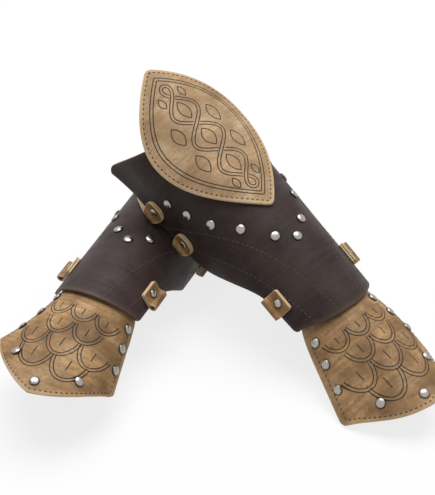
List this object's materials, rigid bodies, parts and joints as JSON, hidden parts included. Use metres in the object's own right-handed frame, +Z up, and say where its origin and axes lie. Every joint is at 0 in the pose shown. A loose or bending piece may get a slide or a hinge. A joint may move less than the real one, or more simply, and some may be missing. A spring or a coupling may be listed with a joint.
{
  "type": "pair of leather bracers",
  "caption": "Pair of laid-down leather forearm bracers with leaf-shaped elbow plates, flared hand plates, domed rivets and side loops for lacing.",
  "frame": {"origin": "middle of the bounding box in plan, on the table that the pair lies on", "axes": "+Z up, away from the table; +X to the right and -Y towards the viewer of the pictured pose, in which the upper bracer crosses the lower one"},
  "size_m": [0.3906, 0.3548, 0.2057],
  "materials": {
    "shell_leather": "dark brown grain leather, satin",
    "plate_leather": "tan vegetable-tanned leather, matte, with tooled lines",
    "loop_leather": "tan leather, matte",
    "nickel": "nickel plated, polished domes"
  },
  "bodies": {
    "rear_bracer": {"rear_forearm_shell": "shell_leather", "rear_elbow_plate": "plate_leather", "rear_chevron_rivet_caps": "nickel", "rear_chevron_rivet_posts": "nickel", "rear_loop_rivet_caps": "nickel", "rear_loop_rivet_posts": "nickel", "rear_loop_near_elbow": "loop_leather", "rear_loop_near_middle": "loop_leather", "rear_loop_near_wrist": "loop_leather", "rear_loop_far_elbow": "loop_leather", "rear_loop_far_middle": "loop_leather", "rear_loop_far_wrist": "loop_leather"},
    "rear_hand": {"rear_hand_plate": "plate_leather", "rear_hand_rivet_caps": "nickel", "rear_hand_rivet_posts": "nickel"},
    "front_bracer": {"front_forearm_shell": "shell_leather", "front_elbow_plate": "plate_leather", "front_chevron_rivet_caps": "nickel", "front_chevron_rivet_posts": "nickel", "front_loop_rivet_caps": "nickel", "front_loop_rivet_posts": "nickel", "front_loop_near_elbow": "loop_leather", "front_loop_near_middle": "loop_leather", "front_loop_near_wrist": "loop_leather", "front_loop_far_elbow": "loop_leather", "front_loop_far_middle": "loop_leather", "front_loop_far_wrist": "loop_leather"},
    "front_hand": {"front_hand_plate": "plate_leather", "front_hand_rivet_caps": "nickel", "front_hand_rivet_posts": "nickel"}
  },
  "joints": [
    {"name": "front_bracer_lift", "type": "slide", "parent": "rear_bracer", "child": "front_bracer", "axis": [0, 0, 1], "range_m": [0, 0.15]},
    {"name": "front_hand_flex", "type": "hinge", "parent": "front_bracer", "child": "front_hand", "pos_m": [0.10793, -0.08643, 0.066], "axis": [0.7616, 0.6076, 0.2255], "range_deg": [-8, 6]},
    {"name": "rear_hand_flex", "type": "hinge", "parent": "rear_bracer", "child": "rear_hand", "pos_m": [-0.10481, -0.05513, 0.07599], "axis": [0.8975, -0.4185, -0.1392], "range_deg": [-3, 10]}
  ]
}
